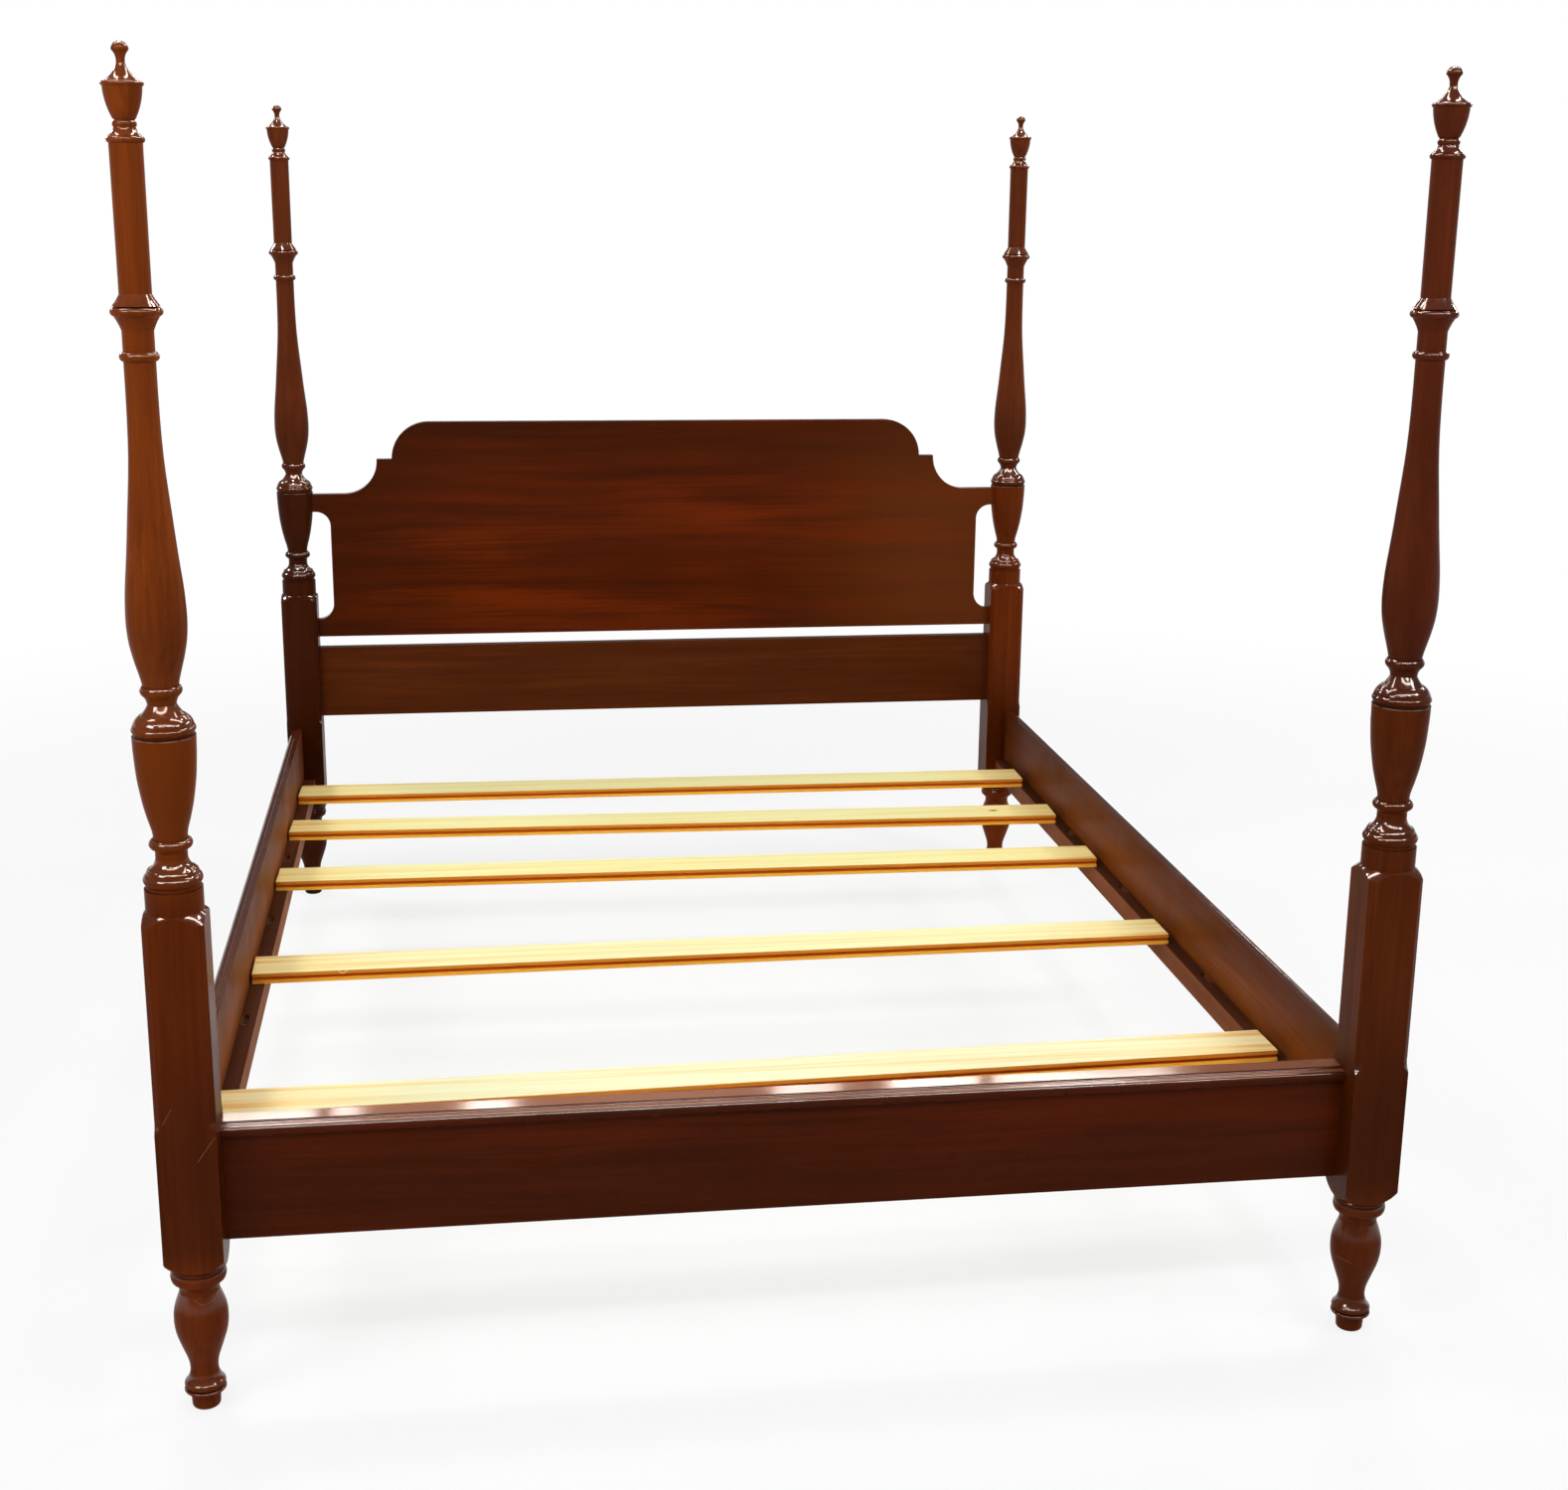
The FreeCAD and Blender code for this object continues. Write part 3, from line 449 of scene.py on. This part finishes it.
def pale_inside(inward):
    # The inner face is paler, and painted light makes it paler still towards the head and most of all on
    # the left.
    # It is darker near its top, and a painted shadow of the head post darkens its head end.
    def touch(place, grain, colour):
        inner = (facing(place).part("X") * inward).between(*INNER_FACE)
        reach = place.part("Y")
        paler = (reach.between(*LIGHT_REACH) + 1.0 + inward) * LIGHT_STEP
        tint = paler.over(figured(grain, INNER_FACE_TONES), LIT_INSIDE_TONE)
        upper = place.part("Z").between(rail_top - UPPER_DARK_LOW, rail_top - UPPER_DARK_HIGH)
        head_end = reach.between(*HEAD_REACH)
        inner = inner * (1.0 - upper * UPPER_DARK_SHARE) * (1.0 - head_end * HEAD_SHADOW_SHARE)
        return inner.over(colour, tint)
    return touch


for number, (side, inward) in enumerate(SIDES):
    start = billet(number, (0.7, 1.1, 0.0), (0.0, 0.0, 0.3))
    dress("side_rail_" + side,
          mahogany("side_rail_wood_" + side, "Y", start, SIDE_RAIL_TONES, SATIN_FILM,
                   pale_inside(inward)))


# Ledgers: square bars screwed through long pockets to the side rails, to carry the slats.
# They were sawn from offcuts, stained and left unpolished, and the pockets are raw and dusty.
LEDGER_TONES = ((0.046, 0.0115, 0.0040), (0.080, 0.0215, 0.0075), (0.130, 0.0420, 0.0160))
LEDGER_FILM = {"level": 0.02, "roughness": 0.50, "coat": 0.08, "thin_coat": 0.03, "coat_roughness": 0.3,
               "groove": (0.20, 0.13, 0.09)}
# The ledgers take the rails' paler inner face, its painted light and the painted head-post shadow
for number, (side, inward) in enumerate(SIDES):
    start = billet(number, (0.4, 0.9, 0.0), (3.0, 0.0, 0.8))
    dress("ledger_" + side,
          mahogany("ledger_wood_" + side, "Y", start, LEDGER_TONES, LEDGER_FILM, pale_inside(inward)))


# Slats: loose boards of bare pine with a groove along one edge and a tongue along the other.
# The faces are planed pale, the sawn edges have gone orange, and the ends show the rings.
PALE_PINE = {1: (0.96, 0.95, 0.62), 2: (0.96, 0.94, 0.54), 3: (0.96, 0.93, 0.46),
             4: (0.96, 0.92, 0.46), 5: (0.96, 0.91, 0.46)}
LATE_WOOD, FIBRE_TINT = (0.94, 0.68, 0.25), (0.94, 0.72, 0.28)
END_TINT, END_LATE_WOOD = (0.93, 0.58, 0.16), (0.80, 0.36, 0.06)
SAWN_EARLY, SAWN_LATE, SAWN_LIP = (1.0, 0.51, 0.055), (0.90, 0.33, 0.03), (0.60, 0.16, 0.012)
RING_EARLY, RING_LATE = (0.78, 0.46, 0.16), (0.50, 0.24, 0.06)
KNOT_HALO, KNOT_HEART = (0.70, 0.36, 0.10), (0.30, 0.11, 0.025)
# Painted shade for the floor of the edge groove
GROOVE_SHADE_TINT = (0.66, 0.130, 0.008)
# Each figure of pine: scale across the grain, share of it along the grain, detail and roughness
PINE_BANDS = (62.0, 0.018, 2.0, 0.5)
PINE_LINES = (260.0, 0.012, 2.0, 0.55)
PINE_FIBRE = (900.0, 0.02, 2.0, 0.6)
PINE_SWAY = 0.03
LATE_RANGE, FIBRE_RANGE = (0.44, 0.66), (0.45, 0.75)
LATE_SHARE, FIBRE_SHARE = 0.65, 0.2
# The ends are darker by their distance from the middle, along a line that follows the bands
END_WANDER, END_FROM_TO, END_LATE_FROM_TO = 0.3, (0.62, 1.0), (0.86, 0.98)
END_SHARE, END_LATE_SHARE = 0.55, 0.7
RINGS, RING_STRETCH, RING_RANGE = (190.0, 2.0), (0.0, 1.0, 1.6), (0.42, 0.60)
KNOT_STRETCH, KNOT_RAGGED, KNOT_WANDER = (0.6, 1.0, 0.0), 140.0, 0.004
HALO_SPREAD, HALO_SHARE = (0.012, 0.006), 0.5
HEART_SPREAD, HEART_SHARE = (0.0075, 0.0055), 0.85
# Heights from the slat's middle: the lip over the groove, the groove's floor and its walls
LIP_RISE, FLOOR_RISE, WALL_RISE = (0.0025, 0.0035), (-0.0040, -0.0032), (0.0060, 0.0045)
LIP_SHARE = 0.75
EDGE_GROOVE_REACH, EDGE_GROOVE_RANGE, EDGE_GROOVE_SHARE = 0.006, (0.05, 0.22), 0.9
PINE_BUMP, PINE_ARRIS = 0.2, 0.0009
PINE_LEVEL, PINE_ROUGHNESS, FIBRE_DULLS = 0.02, 0.52, 0.16
FLAT_SLOPE = (0.4, 0.8)
slat_low, slat_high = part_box("slat_1")
slat_middle = (slat_low[2] + slat_high[2]) / 2


def pine(name, start, pale, knots, touch=None):
    """Bare pine, planed on its faces and sawn on its edges; touch adds what one slat alone shows."""
    finish, place = new_finish(name)
    wood = swayed_grain(place, "X", start, PINE_SWAY)
    bands = wood.drawn(*PINE_BANDS)
    lines = wood.drawn(*PINE_LINES)
    fibre = wood.drawn(*PINE_FIBRE)
    face = facing(place)
    rise = place.part("Z") - slat_middle
    lip = rise.between(*LIP_RISE)
    inside = rise.between(*FLOOR_RISE) * (1.0 - lip)
    walls = rise.unsigned().between(*WALL_RISE)
    upward = face.part("Z").unsigned().between(*FLAT_SLOPE) * (1.0 - walls)
    endward = face.part("X").unsigned().between(*FLAT_SLOPE)
    late = (bands * 0.6 + lines * 0.4).between(*LATE_RANGE)
    planed = (late * LATE_SHARE).over(pale, LATE_WOOD)
    planed = (fibre.between(*FIBRE_RANGE) * FIBRE_SHARE).over(planed, FIBRE_TINT)
    end_reach = place.part("X").unsigned() + bands * END_WANDER
    planed = (end_reach.between(*END_FROM_TO) * END_SHARE).over(planed, END_TINT)
    planed = (end_reach.between(*END_LATE_FROM_TO) * late * END_LATE_SHARE).over(planed, END_LATE_WOOD)
    sawn = late.over(SAWN_EARLY, SAWN_LATE)
    sawn = (lip * LIP_SHARE).over(sawn, SAWN_LIP)
    colour = upward.over(sawn, planed)
    rings = place.vector("MULTIPLY", RING_STRETCH).mottle(*RINGS).between(*RING_RANGE)
    colour = endward.over(colour, rings.over(RING_EARLY, RING_LATE))
    for knot in knots:
        away = place.vector("SUBTRACT", (*knot, 0.0)).vector("MULTIPLY", KNOT_STRETCH)
        spread = away.length() + place.mottle(KNOT_RAGGED) * KNOT_WANDER
        colour = (spread.between(*HALO_SPREAD) * HALO_SHARE).over(colour, KNOT_HALO)
        colour = (spread.between(*HEART_SPREAD) * HEART_SHARE).over(colour, KNOT_HEART)
    # Painted shade darkens the floor of the edge groove to a deep red brown
    groove = hollow(place, EDGE_GROOVE_REACH).between(*EDGE_GROOVE_RANGE) * inside
    colour = (groove * EDGE_GROOVE_SHARE).over(colour, GROOVE_SHADE_TINT)
    if touch is not None:
        colour = touch(place, colour)
    normal = bumped(fibre * 0.6 + lines * 0.6, PINE_BUMP, {"Normal": rounded(place, PINE_ARRIS)})
    looks = {"Base Color": colour, "Roughness": PINE_ROUGHNESS + fibre * FIBRE_DULLS, "Normal": normal}
    shine(place, looks, {"Specular IOR Level": PINE_LEVEL})
    return finish


SLAT_KNOTS = {4: [(0.66, 0.556)]}
STAPLE_DENT = [((-0.6580, 0.2995), (-0.6555, 0.2960)), ((-0.6555, 0.2960), (-0.6515, 0.2946)),
               ((-0.6515, 0.2946), (-0.6475, 0.2960)), ((-0.6475, 0.2960), (-0.6445, 0.2995))]
DENTED_SLAT, DENT_WIDTH, DENT_TINT = 2, 0.0012, (1.0, 0.72, 0.30)
SLAT_FRONT = (-0.245, -0.250)


def dented_edge(place, colour):
    # A staple was pulled out of the second slat's front edge
    front = place.part("Y").between(*SLAT_FRONT)
    return (strokes(place, STAPLE_DENT, DENT_WIDTH) * front).over(colour, DENT_TINT)


for number, pale in PALE_PINE.items():
    start = billet(number, (0.31, 0.17, 0.47))
    knots = SLAT_KNOTS.get(number, [])
    touch = dented_edge if number == DENTED_SLAT else None
    dress("slat_" + str(number), pine("slat_pine_" + str(number), start, pale, knots, touch))


# Rail hooks, keepers, screws, pins and studs: pressed and drawn steel with a dull zinc skin.
# The plates are let in flush and screwed, each stud screws an upper post to a lower one, and
# the pins are glued into the upper posts.
BRIGHT_ZINC, DULL_ZINC = (0.42, 0.42, 0.43), (0.30, 0.29, 0.27)
ZINC_BLOOM, ZINC_RUB, BLOOM_RANGE = (90.0, 4.0), (700.0, 2.0), (0.35, 0.7)
ZINC_BUMP, ZINC_ROUGHNESS, BLOOM_DULLS = 0.08, 0.30, 0.2


def zinc_steel(name):
    finish, place = new_finish(name)
    bloom = place.mottle(*ZINC_BLOOM)
    colour = bloom.between(*BLOOM_RANGE).over(BRIGHT_ZINC, DULL_ZINC)
    normal = bumped(place.mottle(*ZINC_RUB), ZINC_BUMP)
    looks = {"Base Color": colour, "Roughness": ZINC_ROUGHNESS + bloom * BLOOM_DULLS, "Normal": normal}
    shine(place, looks, {"Metallic": 1.0})
    return finish


steel = zinc_steel("zinc_steel")
for corner in CORNERS:
    dress("keeper_plate_" + corner, steel)
    dress("hook_plate_" + corner, steel)
for node in ("post_studs", "finial_pins", "keeper_plate_screws", "hook_plate_screws", "ledger_screws"):
    dress(node, steel)


# Studio: a wide pale floor in a white surround, with rows of tube lamps overhead.
# Seen rays find the floor and the surround white, and the floor keeps the bed's soft shadow.
FLOOR_RADIUS = 40.0
FLOOR_PAINT = (0.86, 0.86, 0.86, 1.0)
WHITE = (1.0, 1.0, 1.0, 1.0)
NEAR_WHITE, FAR_WHITE = 0.80, 1.0
NEAR_TO_FAR = (1.8, 4.5)


def rays(tree):
    # Which rays come straight from the viewer, and which by way of polish, metal or glass
    path = tree.nodes.new("ShaderNodeLightPath").outputs
    mirrored = Shade(tree, path["Is Glossy Ray"]) + Shade(tree, path["Is Transmission Ray"])
    return Shade(tree, path["Is Camera Ray"]), mirrored


bpy.ops.object.select_all(action="DESELECT")
bpy.ops.mesh.primitive_circle_add(vertices=96, radius=FLOOR_RADIUS, fill_type="NGON")
floor = bpy.context.object
floor.name = "studio_floor"
floor_finish, place = new_finish("floor_paint")
seen, mirrored = rays(place.tree)
whiteness = NEAR_WHITE + place.length().between(*NEAR_TO_FAR) * (FAR_WHITE - NEAR_WHITE)
white_share = (seen + mirrored).between(0.0, 1.0) * whiteness
matt = place.node("ShaderNodeBsdfDiffuse", None, {"Color": FLOOR_PAINT})
white = place.node("ShaderNodeEmission", None, {"Color": WHITE, "Strength": 1.0})
close(place.node("ShaderNodeMixShader", None, {0: white_share, 1: matt, 2: white}))
floor.data.materials.append(floor_finish)

SURROUND_LIGHT = 0.24
CEILING_DIM, CEILING_RISE = 0.88, (0.02, 0.20)
world = bpy.data.worlds.new("white_surround")
bpy.context.scene.world = world
world.use_nodes = True
world.node_tree.nodes.clear()
seen, mirrored = rays(world.node_tree)
skyward = seen.node("ShaderNodeTexCoord", output="Generated").part("Z")
ceiling = skyward.between(*CEILING_RISE) * CEILING_DIM
strength = SURROUND_LIGHT * (1.0 - seen - mirrored) + seen + mirrored * (1.0 - ceiling)
surround = seen.node("ShaderNodeBackground", None, {"Color": WHITE, "Strength": strength})
close(surround, "ShaderNodeOutputWorld")


def lamp(name, place, aim, length, width, power, gleam=None):
    # A lamp with a tint for gleam shows only as highlights on polish
    bpy.ops.object.select_all(action="DESELECT")
    bpy.ops.object.light_add(type="AREA", location=place)
    light = bpy.context.object
    light.name = name
    light.data.shape = "RECTANGLE"
    light.data.size = length
    light.data.size_y = width
    light.data.energy = power
    light.visible_camera = False
    if gleam is not None:
        light.visible_diffuse = False
        light.data.color = gleam
    direction = Vector(aim) - Vector(place)
    light.rotation_euler = direction.to_track_quat("-Z", "Y").to_euler()


GLEAM_TINT = (1.0, 0.76, 0.64)
PATCH_TINT = (1.0, 0.90, 0.82)
WARM_TINT = (1.0, 0.64, 0.46)
TUBE_WIDTH = 0.05
lamp("front_row", (0.2, -3.3, 3.1), (0.0, -0.9, 0.6), 3.2, TUBE_WIDTH, 37.0)
lamp("front_left", (-2.6, -2.6, 2.6), (-0.6, -0.8, 0.8), 1.2, 0.8, 46.0)
lamp("front_right", (2.6, -2.4, 3.0), (0.5, -0.8, 0.8), 0.8, 0.6, 27.0)
lamp("middle_left", (-1.0, 0.2, 3.5), (-0.8, 0.0, 0.0), 0.6, 0.12, 23.0)
lamp("middle_right", (1.3, 0.4, 3.5), (1.0, 0.2, 0.0), 0.6, 0.12, 23.0)
lamp("right_row", (3.0, 1.2, 2.4), (-0.8, 0.2, 0.3), 1.6, 0.08, 26.0)
lamp("head_left", (-2.6, 2.4, 2.6), (0.4, 0.4, 0.4), 0.6, 0.12, 24.0)
lamp("head_row", (0.3, 3.2, 2.3), (0.0, -1.0, 0.4), 3.6, TUBE_WIDTH, 1.7, WARM_TINT)
# Short tubes beyond the head end, which the foot rail's flat top mirrors in patches
SPOT_POWER = 4.7
SPOT_REACH, SPOT_HEIGHT = 3.19, 2.32
for across, length in ((-1.10, 0.5), (-0.41, 0.16), (0.69, 0.22), (1.50, 1.0)):
    lamp("head_spot", (across, SPOT_REACH, SPOT_HEIGHT), (0.4 * across, -1.1, 0.4), length, TUBE_WIDTH,
         SPOT_POWER * length, PATCH_TINT)
# Long rows high overhead, which the turned mouldings mirror in arcs
GLEAM_HEIGHT = 3.4
GLEAM_LENGTH, GLEAM_WIDTH = 4.8, 0.32
GLEAM_POWER = 98.0
for number, reach in enumerate((-2.9, -0.5, 2.4)):
    lamp("gleam_row_" + str(number), (0.0, reach, GLEAM_HEIGHT), (0.0, reach, 0.0), GLEAM_LENGTH,
         GLEAM_WIDTH, GLEAM_POWER, GLEAM_TINT)


# Camera: a viewer standing at the foot, left of the middle, who looks a little down at the bed.
# The lens and the turn were worked out from the photograph's frame of 1578 by 1500.
FRAME_WIDTH = 1578.0
FOCAL_LENGTH = 2165.74
SENSOR_WIDTH = 36.0
eye = Vector((-0.4192, -3.7133, 1.5803))
yaw, pitch, roll = 0.1464, -0.2549, 0.0104
ahead = Vector((math.sin(yaw) * math.cos(pitch), math.cos(yaw) * math.cos(pitch), math.sin(pitch)))
right = Vector((math.cos(yaw), -math.sin(yaw), 0.0))
up = right.cross(ahead)
tilted_right = right * math.cos(roll) + up * math.sin(roll)
tilted_up = up * math.cos(roll) - right * math.sin(roll)
bpy.ops.object.camera_add()
camera = bpy.context.object
camera.name = "viewer"
turn = Matrix((tilted_right, tilted_up, -ahead)).transposed().to_4x4()
camera.matrix_world = Matrix.Translation(eye) @ turn
camera.data.sensor_fit = "HORIZONTAL"
camera.data.sensor_width = SENSOR_WIDTH
camera.data.lens = SENSOR_WIDTH * FOCAL_LENGTH / FRAME_WIDTH
bpy.context.scene.camera = camera
bpy.context.scene.view_settings.view_transform = "Standard"
